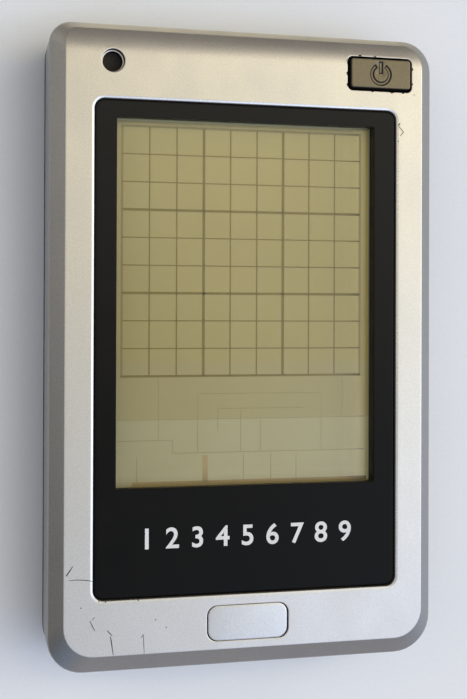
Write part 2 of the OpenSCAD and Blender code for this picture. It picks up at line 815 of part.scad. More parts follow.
module stylus() color(black) translate([silo_x, stylus_y0, silo_z]) rotate([-90, 0, 0]) {
    r = stylus_d / 2;
    l = stylus_y1 - stylus_y0;
    tip_l = 7;
    tip_r = 0.5;
    end_r = 0.6;
    groove = 0.4;
    groove_l = 2.4;
    groove_y = l - 5;
    rotate_extrude() polygon([
        [0, 0], [tip_r, 0], [r * 0.55, tip_l * 0.4], [r * 0.55, tip_l * 0.45], [r, tip_l],
        [r, groove_y], [r - groove, groove_y + groove],
        [r - groove, groove_y + groove_l - groove], [r, groove_y + groove_l],
        [r, l - end_r], [r - end_r, l], [0, l]
    ]);
}

// Pan-head screw with its head's seat at the origin and its point along +Z
module screw(l) {
    slot_w = 0.7;
    difference() {
        union() {
            translate([0, 0, -screw_cap_h]) cylinder(d = screw_cap_d, h = screw_cap_h);
            cylinder(d = screw_d, h = l - 1);
            translate([0, 0, l - 1]) cylinder(d1 = screw_d, d2 = screw_d / 3, h = 1);
        }
        for (turn = [0, 90]) rotate(turn)
            translate([-screw_cap_d * 0.3, -slot_w / 2, -screw_cap_h - eps])
                cube([screw_cap_d * 0.6, slot_w, slot_w]);
    }
}

module case_screws() color(metal)
    for (p = case_screws_at) translate([p.x, p.y, post_z - post_web]) screw(case_screw_l);

module board_screws() color(metal)
    for (p = board_screws_at) translate([p.x, p.y, board_under_z]) screw(board_screw_l);

front_cover();
rear_cover();
battery_door();
screen_bezel();
screen_gasket();
touch_panel();
panel_tape();
touch_tail();
lcd_panel();
lcd_holder();
zebra_strip();
main_board();
controller_chip();
crystal();
capacitor();
buzzer();
power_button();
power_key_pill();
power_key_mat();
front_button();
front_key_pill();
front_key_mat();
key_board();
key_ribbon();
upper_battery();
lower_battery();
plus_contact();
minus_contact();
bridge_contact();
stylus();
case_screws();
board_screws();
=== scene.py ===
import math

import bpy
from mathutils import Matrix, Vector
from mathutils.geometry import delaunay_2d_cdt


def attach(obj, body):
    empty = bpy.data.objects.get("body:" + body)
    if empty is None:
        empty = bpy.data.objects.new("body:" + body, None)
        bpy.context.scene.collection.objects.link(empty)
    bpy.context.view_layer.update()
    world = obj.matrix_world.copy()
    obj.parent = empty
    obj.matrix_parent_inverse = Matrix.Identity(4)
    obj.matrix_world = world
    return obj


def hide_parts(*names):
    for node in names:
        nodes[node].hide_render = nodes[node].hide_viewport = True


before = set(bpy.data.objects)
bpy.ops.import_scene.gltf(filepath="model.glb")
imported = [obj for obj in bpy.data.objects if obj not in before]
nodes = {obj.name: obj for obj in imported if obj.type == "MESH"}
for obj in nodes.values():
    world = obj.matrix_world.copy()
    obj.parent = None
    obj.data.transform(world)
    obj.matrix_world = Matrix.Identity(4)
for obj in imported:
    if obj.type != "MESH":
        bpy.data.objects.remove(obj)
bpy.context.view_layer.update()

# Sizes in millimetres, most of them those of the solids. The bezel's corners are a little tighter here, the
# left bevel is a little wider, the bevel's corners differ from each other, and the front button is less high.
# Four radii run counter-clockwise from the lower right corner.
MM = 0.001
CASE_T = 18.0
PARTING_Z = 7.6
BEVEL_Z = 15.8
ROOF_Z = 16.2
HALF_W, HALF_L = 39.0, 62.5
JOINT_RADII = (7.6, 5.4, 5.4, 7.6)
BEVEL_RADII = (7.6, 6.2, 4.2, 6.8)
FACE = (-36.1, 36.3, -59.0, 59.8)
FACE_RADII = (5.8, 3.6, 2.8, 5.8)
ROLL_Y, ROLL_R = 56.273, 11.017
BEZEL = (-30.4, 30.6, -48.25, 47.6)
BEZEL_R = 1.85
BEZEL_Z, BEZEL_UNDER = 17.55, 15.5
BEZEL_FLANGE = 0.8
FIT_GAP = 0.15
WINDOW = (-26.15, 26.15, -27.25, 44.4)
WINDOW_R = 0.4
TOUCH_Z, LCD_Z = 14.98, 13.4
POWER_AT, POWER_SIZE, POWER_R, POWER_GAP = (27.2, 55.05), (13.6, 6.8), 1.0, 0.5
POWER_TOP = 18.7
SIGN_AT = (27.15, 54.88)
FRONT_AT, FRONT_SIZE, FRONT_R = (0.0, -53.95), (16.5, 6.95), 2.0
FRONT_CROWN, FRONT_CROWN_R = 0.2, 170.26
FLANGE_Z, FLANGE_UNDER = 16.0, 15.1
SOUND_AT, SOUND_R, SOUND_STEP_R = (-27.0, 55.05), 2.18, 1.95
SOUND_STEP_Z, SOUND_STEP_UNDER, SOUND_END_Z = 16.8, 16.76, 15.5
GRID_Y1, GRID_PITCH = 43.30, 5.46
GRID_X = 4.5 * GRID_PITCH

# Roundings of the front cover: at its joint, at the bevel's foot, at the face, and round the openings
JOINT_STEPS = ((0.12, 0), (0.03, 0.04), (0, 0.14))
WALL_END, WALL_SOFT, BEVEL_SOFT = 1.2, 0.5, 0.4
FACE_SOFT, FACE_RIM = 0.12, 0.2
BEZEL_EDGE, POWER_EDGE, FRONT_EDGE, SOUND_EDGE = 0.24, 0.22, 0.26, 0.2
FRONT_EDGE_DEPTH = 0.07
OPENING_RIM = 0.22
BEZEL_LIP, LIP_FALL = 0.2, 0.25

# Rings of the front cover from its joint to the middle of the edge of its face
SIDE_RINGS = 13

# Films and marks lie this far above the surface that carries them
GRID_LIFT, GRID_EDGE_LIFT, TRACE_LIFT, RIM_LIFT = 0.012, 0.009, 0.006, 0.006
SCRATCH_LIFT, CHIP_LIFT, NUMBER_LIFT = 0.003, 0.004, 0.005

# Finishes of the front cover's faces, in the order of its materials. LIP is paler paint on the bezel
# opening's lip: a painted highlight.
PAINT, SIDE, LIP, BARE = range(4)


# Shapes

def rounded(box, radius, grow=0.0, arc=9, side=18):
    """Points round a rectangle, counter-clockwise from its lower right corner, with one radius or four."""
    x0, x1, y0, y1 = box[0] - grow, box[1] + grow, box[2] - grow, box[3] + grow
    radii = radius if isinstance(radius, tuple) else (radius,) * 4
    a, b, c, d = (max(r + grow, 0.05) for r in radii)
    centres = ((x1 - a, y0 + a, a, -90), (x1 - b, y1 - b, b, 0),
               (x0 + c, y1 - c, c, 90), (x0 + d, y0 + d, d, 180))
    arcs = []
    for cx, cy, r, start in centres:
        angles = [math.radians(start + 90 * k / arc) for k in range(arc + 1)]
        arcs.append([(cx + r * math.cos(a), cy + r * math.sin(a)) for a in angles])
    points = []
    for here, following in zip(arcs, arcs[1:] + arcs[:1]):
        (ax, ay), (bx, by) = here[-1], following[0]
        points += here
        points += [(ax + (bx - ax) * k / side, ay + (by - ay) * k / side) for k in range(1, side)]
    return points


def circle(at, r, count=48):
    """Points round a circle, counter-clockwise."""
    angles = [2 * math.pi * k / count for k in range(count)]
    return [(at[0] + r * math.cos(a), at[1] + r * math.sin(a)) for a in angles]


def around(at, size):
    """Box of a key's opening round its middle."""
    return (at[0] - size[0] / 2, at[0] + size[0] / 2, at[1] - size[1] / 2, at[1] + size[1] / 2)


def eased(start, corner, end, steps=5):
    """Points that round off a corner between two points."""
    start, corner, end = Vector(start), Vector(corner), Vector(end)
    points = []
    for k in range(steps + 1):
        t = k / steps
        points.append(start * (1 - t) ** 2 + corner * 2 * t * (1 - t) + end * t ** 2)
    return points


def inside(point, loop):
    """Whether a point is inside a closed loop of points."""
    x, y = point
    hit = False
    for (ax, ay), (bx, by) in zip(loop, loop[1:] + loop[:1]):
        if (ay > y) != (by > y) and x < (bx - ax) * (y - ay) / (by - ay) + ax:
            hit = not hit
    return hit


class Shape:
    """Points in millimetres and the faces between them, gathered for one mesh."""

    def __init__(self):
        self.points = []
        self.faces = []
        self.marks = []
        self.mark = 0

    def ring(self, points):
        """Adds points and returns their numbers."""
        start = len(self.points)
        self.points += [tuple(p) for p in points]
        return list(range(start, len(self.points)))

    def flat(self, loop, z):
        """Adds a loop at one height."""
        return self.ring([(x, y, z) for x, y in loop])

    def face(self, corners):
        """A face in the finish that is in use, which mark numbers."""
        self.faces.append(tuple(corners))
        self.marks.append(self.mark)

    def skin(self, rings):
        """Faces from each ring to the next, seen from the side where the rings run counter-clockwise."""
        for a, b in zip(rings, rings[1:]):
            for i in range(len(a)):
                j = (i + 1) % len(a)
                self.face((a[i], a[j], b[j], b[i]))

    def fill(self, outer, holes=(), extra=(), height=None, flip=False):
        """Triangles between an outer ring and the rings of its holes, with extra points on the way."""
        spare = self.ring([(x, y, height(x, y)) for x, y in extra]) if extra else []
        index = list(outer) + [i for hole in holes for i in hole] + spare
        edges, start = [], 0
        for ring in (outer, *holes):
            count = len(ring)
            edges += [(start + k, start + (k + 1) % count) for k in range(count)]
            start += count
        flat = [Vector(self.points[i][:2]) for i in index]
        hole_loops = [[self.points[i][:2] for i in hole] for hole in holes]
        places, _, triangles, origin, _, _ = delaunay_2d_cdt(flat, edges, [], 1, 1e-6)
        for triangle in triangles:
            middle = sum((places[i] for i in triangle), Vector((0, 0))) / len(triangle)
            if any(inside(middle, loop) for loop in hole_loops):
                continue
            corners = [index[origin[i][0]] for i in triangle]
            self.face(reversed(corners) if flip else corners)

    def prism(self, loop, z0, z1):
        """A closed block between two heights."""
        low, high = self.flat(loop, z0), self.flat(loop, z1)
        self.skin([low, high])
        self.fill(high)
        self.fill(low, flip=True)

    def build(self, name, sharp=38):
        """The mesh object, smooth up to this angle in degrees between faces."""
        mesh = bpy.data.meshes.new(name)
        mesh.from_pydata([Vector(p) * MM for p in self.points], [], self.faces)
        mesh.update()
        mesh.polygons.foreach_set("use_smooth", [True] * len(mesh.polygons))
        mesh.polygons.foreach_set("material_index", self.marks)
        mesh.set_sharp_from_angle(angle=math.radians(sharp))
        piece = bpy.data.objects.new(name, mesh)
        bpy.context.scene.collection.objects.link(piece)
        return piece


def face_z(y):
    """Height of the front face, which rolls off towards the power key's end."""
    if y <= ROLL_Y:
        return CASE_T
    return CASE_T - ROLL_R + math.sqrt(max(ROLL_R ** 2 - (y - ROLL_Y) ** 2, 0))


def front_profile(joint, foot, head):
    """One section of the front cover, from the joint up over the bevel onto the face."""
    (jx, jy), (ox, oy), (fx, fy) = joint, foot, head
    run = math.hypot(fx - ox, fy - oy)
    low, high = 0.0, 1.0
    for _ in range(40):
        t = (low + high) / 2
        if BEVEL_Z + (CASE_T - BEVEL_Z) * t > face_z(oy + (fy - oy) * t):
            high = t
        else:
            low = t
    edge = run * low
    slope = (CASE_T - BEVEL_Z) / run
    ux, uy = (fx - ox) / run, (fy - oy) / run

    def inward(d, z):
        return (ox + ux * d, oy + uy * d, z)

    def on_bevel(d):
        return inward(d, BEVEL_Z + d * slope)

    def on_face(d):
        return inward(d, face_z(oy + uy * d))

    section = [(jx + ux * d, jy + uy * d, PARTING_Z + rise) for d, rise in JOINT_STEPS]
    section.append(inward(0, BEVEL_Z - WALL_END))
    section += eased(inward(0, BEVEL_Z - WALL_SOFT), inward(0, BEVEL_Z), on_bevel(BEVEL_SOFT))
    section += eased(on_bevel(edge - FACE_SOFT), on_face(edge), on_face(edge + FACE_SOFT))
    return section + [on_face(edge + FACE_SOFT + FACE_RIM)]


def add_opening(shape, loop_at, edge, lower, depth=None, lip=0.0, bare=False):
    """An opening in the face with a rounded edge, after a shallow lip, and walls that may be bare of paint.

    Each lower ring has its growth, its height and the mark of the faces above it. Returns the ring where
    the face meets the opening.
    """
    drop = lip * LIP_FALL
    depth = depth or edge
    rows = []
    for wide, brim, out, at in zip(*(loop_at(d) for d in (lip + edge + OPENING_RIM, lip + edge, edge, 0))):
        row = [(*wide, face_z(wide[1]))]
        if lip:
            z = face_z(brim[1])
            row += [(*brim, z)]
            row += [(*(Vector(brim).lerp(Vector(out), t)), z - drop * t) for t in (0.12, 0.88)]
        z = face_z(at[1]) - drop
        rows.append(row + eased((*out, face_z(out[1]) - drop), (*at, z), (*at, z - depth)))
    rings = [shape.ring(ring) for ring in zip(*rows)]
    marks = [PAINT] * (len(rings) - 1)
    # The lip's faces take paler paint: a painted highlight along the bezel opening
    if lip:
        marks[1:5] = [LIP] * 4
    if bare:
        marks[-3:] = [BARE] * 3
    for grow, z, mark in lower:
        rings.append(shape.flat(loop_at(grow), z))
        marks.append(mark)
    for mark, upper_ring, lower_ring in zip(marks, rings, rings[1:]):
        shape.mark = mark
        shape.skin([upper_ring, lower_ring])
    shape.mark = PAINT
    return rings[0]


def make_front_cover():
    """The silver shell with its bevel, its rolled face and four openings."""
    shape = Shape()
    case = (-HALF_W, HALF_W, -HALF_L, HALF_L)
    levels = ((case, JOINT_RADII), (case, BEVEL_RADII), (FACE, FACE_RADII))
    outlines = [rounded(box, radii, side=54) for box, radii in levels]
    rings = [shape.ring(ring) for ring in zip(*map(front_profile, *outlines))]
    shape.mark = SIDE
    shape.skin(rings[:SIDE_RINGS])
    shape.mark = PAINT
    shape.skin(rings[SIDE_RINGS - 1:])
    power_box, front_box = around(POWER_AT, POWER_SIZE), around(FRONT_AT, FRONT_SIZE)
    step = SOUND_STEP_R - SOUND_R
    openings = [
        add_opening(shape, lambda grow: rounded(BEZEL, BEZEL_R, grow=grow + FIT_GAP), BEZEL_EDGE,
                    [(0, ROOF_Z, PAINT)], lip=BEZEL_LIP),
        add_opening(shape, lambda grow: rounded(power_box, POWER_R, grow=grow), POWER_EDGE,
                    [(0, ROOF_Z, BARE)], bare=True),
        add_opening(shape, lambda grow: rounded(front_box, FRONT_R, grow=grow), FRONT_EDGE,
                    [(0, ROOF_Z, PAINT)], FRONT_EDGE_DEPTH),
        add_opening(shape, lambda grow: circle(SOUND_AT, SOUND_R + grow), SOUND_EDGE,
                    [(0, SOUND_STEP_Z, BARE), (step, SOUND_STEP_UNDER, PAINT), (step, SOUND_END_Z, BARE)],
                    bare=True),
    ]
    edge_loop = [shape.points[i][:2] for i in rings[-1]]
    hole_loops = [[shape.points[i][:2] for i in ring] for ring in openings]
    column_step, row_step = 2.08, 0.45
    extra = []
    for row in range(-1, 12):
        for column in range(-17, 18):
            point = (column * column_step, ROLL_Y + row * row_step)
            if inside(point, edge_loop) and not any(inside(point, loop) for loop in hole_loops):
                extra.append(point)
    shape.fill(rings[-1], openings, extra, lambda x, y: face_z(y))
    return shape.build("front_shell")


def make_bezel():
    """The black plate round the window, with a flange under the front cover."""
    shape = Shape()
    edge, edge_rim = 0.4, 0.4
    sill, sill_rim = 0.14, 0.3

    def outline(grow):
        return rounded(BEZEL, BEZEL_R, grow=grow)

    def window(grow):
        return rounded(WINDOW, WINDOW_R, grow=grow)

    flange = [shape.flat(outline(BEZEL_FLANGE), BEZEL_UNDER), shape.flat(outline(BEZEL_FLANGE), ROOF_Z),
              shape.flat(outline(0), ROOF_Z)]
    rows = [eased((*side, BEZEL_Z - edge), (*side, BEZEL_Z), (*top, BEZEL_Z))
            for side, top in zip(outline(0), outline(-edge))]
    outer = flange + [shape.ring(ring) for ring in zip(*rows)]
    outer.append(shape.flat(outline(-edge - edge_rim), BEZEL_Z))
    shape.skin(outer)
    rows = [eased((*top, BEZEL_Z), (*side, BEZEL_Z), (*side, BEZEL_Z - sill))
            for top, side in zip(window(sill), window(0))]
    inner = [shape.flat(window(sill + sill_rim), BEZEL_Z)] + [shape.ring(ring) for ring in zip(*rows)]
    inner.append(shape.flat(window(0), BEZEL_UNDER))
    shape.skin(inner)
    shape.skin([inner[-1], outer[0]])
    shape.fill(outer[-1], [inner[0]])
    return shape.build("bezel")


def sign_loops(half):
    """Outlines of a power sign's grooves, this far from their middle lines: an open ring and a bar."""
    x, y = SIGN_AT
    ring_r, ring_gap, line_half = 1.88, math.radians(35), 0.2
    bar_half, bar_low, bar_high, bar_r = half + 0.04, 0.55 - half, 2.2 + half, 0.1
    gap = ring_gap - (half - line_half) / ring_r
    sweep = [gap + (2 * math.pi - 2 * gap) * k / 40 for k in range(41)]
    outer, inner = ring_r + half, ring_r - half
    loop = [(x - outer * math.sin(a), y + outer * math.cos(a)) for a in sweep]
    loop += [(x - inner * math.sin(a), y + inner * math.cos(a)) for a in reversed(sweep)]
    bar = rounded((x - bar_half, x + bar_half, y + bar_low, y + bar_high), bar_r, arc=3, side=2)
    return [loop, bar]


def add_key_flange(shape, box):
    """The flange that keeps a key behind its opening at both ends."""
    reach, corner = 1.0, 0.6
    flange = (box[0] - reach, box[1] + reach, box[2] + reach, box[3] - reach)
    shape.prism(rounded(flange, corner, arc=4, side=4), FLANGE_UNDER, FLANGE_Z)


def make_power_key():
    """The power key with its engraved sign."""
    shape = Shape()
    box = around(POWER_AT, POWER_SIZE)
    edge, edge_rim = 0.3, 0.05
    groove_wide, groove_narrow, groove_depth = 0.45, 0.15, 0.2
    # The lower rings of the key's side take the dark finish: painted shade along the key's edge
    dark_rings = 4

    def outline(grow):
        return rounded(box, POWER_R, grow=grow - POWER_GAP, arc=6, side=6)

    rows = [eased((*side, POWER_TOP - edge), (*side, POWER_TOP), (*top, POWER_TOP))
            for side, top in zip(outline(0), outline(-edge))]
    rings = [shape.flat(outline(0), FLANGE_UNDER)] + [shape.ring(ring) for ring in zip(*rows)]
    rings.append(shape.flat(outline(-edge - edge_rim), POWER_TOP))
    shape.mark = 1
    shape.skin(rings[:dark_rings])
    shape.mark = 0
    shape.skin(rings[dark_rings - 1:])
    signs = []
    for wide, narrow in zip(sign_loops(groove_wide), sign_loops(groove_narrow)):
        top, floor = shape.flat(wide, POWER_TOP), shape.flat(narrow, POWER_TOP - groove_depth)
        # The groove walls take the dark finish: painted shade in the grooves
        shape.mark = 1
        shape.skin([top, floor])
        shape.mark = 0
        shape.fill(floor)
        signs.append(top)
    shape.fill(rings[-1], signs)
    add_key_flange(shape, box)
    return shape.build("power_cap", 30)


def make_front_key():
    """The front button with its crowned top, which sits a little to the left in its opening."""
    shape = Shape()
    box = around(FRONT_AT, FRONT_SIZE)
    left_gap, right_gap, lower_gap, upper_gap = 0.22, 0.32, 0.1, 0.02
    cap = (box[0] + left_gap, box[1] - right_gap, box[2] + lower_gap, box[3] - upper_gap)
    edge, edge_rim, depth = 0.3, 0.4, 0.08
    column_step, row_step = 0.7, 0.6

    def crown_z(x, y):
        reach = (x - FRONT_AT[0]) ** 2 + (y - FRONT_AT[1]) ** 2
        return CASE_T + FRONT_CROWN - reach / (2 * FRONT_CROWN_R)

    def outline(grow):
        return rounded(cap, FRONT_R, grow=grow)

    rows = [eased((*side, crown_z(*side) - depth), (*side, crown_z(*side)), (*top, crown_z(*top)))
            for side, top in zip(outline(0), outline(-edge))]
    brink = outline(-edge - edge_rim)
    rings = [shape.flat(outline(0), FLANGE_UNDER)] + [shape.ring(ring) for ring in zip(*rows)]
    rings.append(shape.ring([(*p, crown_z(*p)) for p in brink]))
    shape.skin(rings)
    extra = [(x * column_step, FRONT_AT[1] + y * row_step) for x in range(-10, 11) for y in range(-4, 5)]
    extra = [p for p in extra if inside(p, brink)]
    shape.fill(rings[-1], (), extra, crown_z)
    add_key_flange(shape, box)
    return shape.build("front_cap")


def add_bar(shape, x0, x1, y0, y1, z):
    """A flat rectangle that faces up."""
    ring = shape.ring([(x0, y0, z), (x1, y0, z), (x1, y1, z), (x0, y1, z)])
    shape.face(ring)


def make_grid():
    """The nine by nine grid of the display, heavier round each three by three block."""
    shape = Shape()
    y0 = GRID_Y1 - 9 * GRID_PITCH
    z = LCD_Z + GRID_LIFT
    for k in range(1, 9):
        upright, level = (0.28, 0.26) if k % 3 == 0 else (0.14, 0.12)
        x = -GRID_X + k * GRID_PITCH
        add_bar(shape, x - upright, x + upright, y0, GRID_Y1, z)
        y = GRID_Y1 - k * GRID_PITCH
        add_bar(shape, -GRID_X, GRID_X, y - level, y + level, z)
    half, past_end = 0.24, 0.2
    add_bar(shape, -GRID_X - past_end, GRID_X + past_end, y0 - half, y0 + half, z)
    z = LCD_Z + GRID_EDGE_LIFT
    shape.mark = 1
    add_bar(shape, -GRID_X - half, -GRID_X + half, y0 - half, GRID_Y1 + half, z)
    add_bar(shape, -GRID_X + half, GRID_X - half, GRID_Y1 - half, GRID_Y1 + half, z)
    # The right outer line is paler than the other outer lines: painted light where the window's right wall
    # shades the display
    shape.mark = 2
    add_bar(shape, GRID_X - half, GRID_X + half, y0 - half, GRID_Y1 + half, z)
    return shape.build("display_grid")


def make_traces():
    """Clear electrode tracks in the display's lower part, which show faintly."""
    shape = Shape()
    z = LCD_Z + TRACE_LIFT
    level_half, upright_half = 0.06, 0.055
    level_tracks = (
        (-25.6, 25.6, -14.4), (-9.3, 16.6, -9.4), (-5.2, 12.7, -12.4), (-25.6, -14.3, -18.5),
        (-14.3, 25.6, -21.1),
    )
    upright_tracks = (
        (-17.2, -18.5, -6.1), (-9.3, -21.1, -9.4), (-5.2, -16.7, -12.4), (-0.5, -21.1, -12.4),
        (3.6, -21.1, -14.4), (16.4, -21.1, -9.4), (20.9, -14.4, -6.1), (-14.3, -21.1, -18.5),
        (-21.5, -26.9, -21.6), (0.1, -26.9, -21.6), (5.8, -26.9, -21.6), (11.1, -26.9, -21.6),
    )
    for x0, x1, y in level_tracks:
        add_bar(shape, x0, x1, y - level_half, y + level_half, z)
    for x, y0, y1 in upright_tracks:
        add_bar(shape, x - upright_half, x + upright_half, y0, y1, z)
    shape.mark = 1
    add_bar(shape, -8.3, -7.2, -26.9, -21.6, z)
    add_bar(shape, -22.4, 26.1, -27.5, -26.6, z)
    return shape.build("display_traces")


def make_panel_rim():
    """Pale strips along three sides of the window, on the touch panel: painted light where the window's walls
    shade the display.
    """
    shape = Shape()
    z = TOUCH_Z + RIM_LIFT
    x0, x1, y0, y1 = WINDOW
    gap, left, top, right, left_start = 0.02, 0.4, 0.36, 0.22, 0.3
    add_bar(shape, x0 + gap, x0 + left, y0 + left_start, y1 - gap, z)
    add_bar(shape, x0 + left, x1 - gap, y1 - top, y1 - gap, z)
    add_bar(shape, x1 - right, x1 - gap, y0 + gap, y1 - top, z)
    return shape.build("panel_rim")


def make_felt():
    """Thin felt on the buzzer that hides its port under even dark grey: a dark sheet that stands in for the
    shade down the sound hole.
    """
    shape = Shape()
    gap, thickness = 0.05, 0.1
    top = max(corner[2] for corner in nodes["buzzer"].bound_box) / MM
    shape.prism(circle(SOUND_AT, SOUND_STEP_R - gap), top, top + thickness)
    return shape.build("port_shade_felt")


def add_scratch(shape, points, width, z):
    """A scratch along the points, widest in its middle."""
    points = [Vector(p) for p in points]
    left, right = [], []
    last = len(points) - 1
    for k, p in enumerate(points):
        along = (points[min(k + 1, last)] - points[max(k - 1, 0)]).normalized()
        half = width / 2 * (0.35 + 0.65 * math.sin(math.pi * (k + 0.5) / (last + 1)))
        across = Vector((-along.y, along.x)) * half
        left.append((*(p + across), z))
        right.append((*(p - across), z))
    a, b = shape.ring(left), shape.ring(right)
    for k in range(last):
        shape.face((b[k], b[k + 1], a[k + 1], a[k]))


def add_chip(shape, at, out, length, reach):
    """A ragged chip of paint at an opening's edge, which reaches out over the face."""
    at, out = Vector(at), Vector(out)
    side = Vector((-out.y, out.x))
    corners = ((-0.5, 0.1), (0.5, 0.1), (0.42, 0.45), (0.12, 0.75), (-0.1, 1.0), (-0.36, 0.6))
    loop = [at + side * (length * a) + out * (0.08 + (reach + 0.1) * b) for a, b in corners]
    ring = [(p.x, p.y, face_z(p.y) + CHIP_LIFT) for p in loop]
    turn = sum(a[0] * b[1] - b[0] * a[1] for a, b in zip(ring, ring[1:] + ring[:1]))
    shape.face(shape.ring(ring if turn > 0 else ring[::-1]))


def make_wear():
    """Scratches and nicks in the paint of the face, and chips round the power key."""
    shape = Shape()
    z = CASE_T + SCRATCH_LIFT
    width_scale, nick_r = 1.35, 0.13
    scratches = (
        (((-34.4, -41.5), (-34.9, -42.3), (-35.4, -43.0), (-35.7, -43.3)), 0.16),
        (((-35.0, -42.3), (-35.3, -42.9), (-35.6, -43.3)), 0.12),
        (((-35.1, -44.2), (-33.9, -44.1), (-32.4, -44.2), (-31.1, -44.4), (-30.5, -44.6)), 0.12),
        (((-31.1, -52.0), (-30.6, -53.1), (-30.1, -54.0)), 0.13),
        (((-30.2, -51.4), (-30.7, -51.9)), 0.1),
        (((-27.8, -54.0), (-27.3, -54.6), (-26.8, -55.1)), 0.14),
        (((-27.2, -55.2), (-27.0, -56.0), (-26.9, -56.8), (-26.6, -58.8)), 0.16),
        (((-20.8, -55.2), (-20.7, -57.2), (-20.6, -58.9)), 0.1),
        (((-20.8, -55.2), (-21.2, -55.8)), 0.1),
        (((31.6, 45.4), (31.3, 45.1), (31.1, 44.8)), 0.14),
        (((31.1, 44.8), (31.8, 44.1), (32.3, 43.5), (31.9, 43.1), (31.6, 42.7)), 0.14),
    )
    nicks = ((-18.4, -52.5), (-16.3, -54.1), (-21.8, -48.6), (-28.1, -48.6), (-29.4, -48.5),
             (-32.8, -49.5), (34.6, 51.2), (31.4, 45.0), (31.2, 41.6))
    for points, width in scratches:
        add_scratch(shape, points, width * width_scale, z)
    for at in nicks:
        shape.face(shape.flat(circle(at, nick_r, 8), z))
    x0, x1, y0, y1 = around(POWER_AT, POWER_SIZE)
    left, right, down, up = (-1, 0), (1, 0), (0, -1), (0, 1)
    chips = (
        ((x0, 54.9), left, 0.9, 0.22), ((x0, 57.4), left, 1.2, 0.16), ((x0, 52.6), left, 0.8, 0.14),
        ((x1, 56.4), right, 0.7, 0.24), ((x1, 53.4), right, 0.6, 0.18),
        ((23.0, y1), up, 0.8, 0.3), ((26.2, y1), up, 0.6, 0.16),
        ((29.8, y0), down, 0.9, 0.22), ((25.6, y0), down, 0.6, 0.16), ((32.2, y0), down, 0.7, 0.2),
    )
    shape.mark = 1
    for at, out, length, reach in chips:
        add_chip(shape, at, out, length, reach)
    return shape.build("paint_wear")


def make_numbers():
    """Plain numbers in a row on the lower part of the bezel."""
    row_y = -37.2
    curve = bpy.data.curves.new("bezel_numbers", "FONT")
    curve.body = "1 2 3 4 5 6 7 8 9"
    curve.align_x, curve.align_y = "CENTER", "CENTER"
    curve.size = 5.6 * MM
    curve.space_character = 1.12
    curve.extrude = 0.004 * MM
    curve.offset = 0.09 * MM
    text = bpy.data.objects.new("numbers_source", curve)
    bpy.context.scene.collection.objects.link(text)
    bpy.context.view_layer.update()
    mesh = bpy.data.meshes.new_from_object(text.evaluated_get(bpy.context.evaluated_depsgraph_get()))
    bpy.data.objects.remove(text)
    mesh.transform(Matrix.Translation((0, row_y * MM, (BEZEL_Z + NUMBER_LIFT) * MM)))
    mesh.name = "bezel_numbers"
    piece = bpy.data.objects.new("bezel_numbers", mesh)
    bpy.context.scene.collection.objects.link(piece)
    return piece


# Materials

def tint(red, green, blue):
    """Linear colour of a shade that is written from 0 to 255."""
    def linear(v):
        v /= 255
        return v / 12.92 if v <= 0.04045 else ((v + 0.055) / 1.055) ** 2.4

    return (linear(red), linear(green), linear(blue), 1.0)


class Finish:
    """A material whose nodes are added one by one."""

    def __init__(self, name, **inputs):
        self.material = bpy.data.materials.new(name)
        self.material.use_nodes = True
        self.tree = self.material.node_tree
        self.shader = self.tree.nodes["Principled BSDF"]
        for socket, value in inputs.items():
            self.shader.inputs[socket.replace("_", " ")].default_value = value
        self.place = self.node("ShaderNodeTexCoord").outputs["Object"]

    def node(self, kind, **inputs):
        """A new node with its inputs linked or set."""
        node = self.tree.nodes.new(kind)
        for socket, value in inputs.items():
            self.feed(node.inputs[socket.replace("_", " ")], value)
        return node

    def feed(self, socket, value):
        """Links another node's output to a socket, or sets the socket's value."""
        if isinstance(value, bpy.types.NodeSocket):
            self.tree.links.new(value, socket)
        else:
            socket.default_value = value

    def noise(self, size, detail=2.0, stretch=None):
        """Noise with features of about this size in millimetres."""
        place = self.place
        if stretch:
            place = self.node("ShaderNodeMapping", Vector=self.place, Scale=stretch).outputs["Vector"]
        noise = self.node("ShaderNodeTexNoise", Vector=place, Scale=1 / (size * MM), Detail=detail)
        return noise.outputs["Fac"]

    def ramp(self, value, stops):
        """Colours or grey levels at stops from 0 to 1."""
        node = self.node("ShaderNodeValToRGB", Fac=value)
        bands = node.color_ramp.elements
        while len(bands) < len(stops):
            bands.new(0.5)
        for band, (at, colour) in zip(bands, stops):
            band.position = at
            band.color = colour if isinstance(colour, tuple) else (colour, colour, colour, 1)
        return node.outputs["Color"]

    def mix(self, share, a, b, how="MIX"):
        """Two colours mixed, with this share of the second."""
        node = self.node("ShaderNodeMix")
        node.data_type = "RGBA"
        node.blend_type = how
        self.feed(node.inputs["Factor"], share)
        self.feed(node.inputs[6], a)
        self.feed(node.inputs[7], b)
        return node.outputs[2]

    def math(self, how, a, b):
        """One step of arithmetic with two values."""
        node = self.node("ShaderNodeMath")
        node.operation = how
        self.feed(node.inputs[0], a)
        self.feed(node.inputs[1], b)
        return node.outputs["Value"]

    def between(self, value, start, end):
        """The share of the way from one place in millimetres to another, from 0 to 1."""
        node = self.node("ShaderNodeMapRange", Value=value, From_Min=start * MM, From_Max=end * MM)
        return node.outputs["Result"]

    def axis(self, letter):
        """The place along one axis."""
        return self.node("ShaderNodeSeparateXYZ", Vector=self.place).outputs[letter]

    def set(self, **inputs):
        """Links or sets inputs of the shader."""
        for socket, value in inputs.items():
            self.feed(self.shader.inputs[socket.replace("_", " ")], value)
        return self

    def bump(self, height, depth, strength=1.0, edge=0.0):
        """Relief of this depth in millimetres, on edges that are eased by this radius."""
        node = self.node("ShaderNodeBump", Height=height, Strength=strength, Distance=depth * MM)
        if edge:
            soft = self.node("ShaderNodeBevel", Radius=edge * MM)
            self.feed(node.inputs["Normal"], soft.outputs["Normal"])
        self.feed(self.shader.inputs["Normal"], node.outputs["Normal"])
        return self


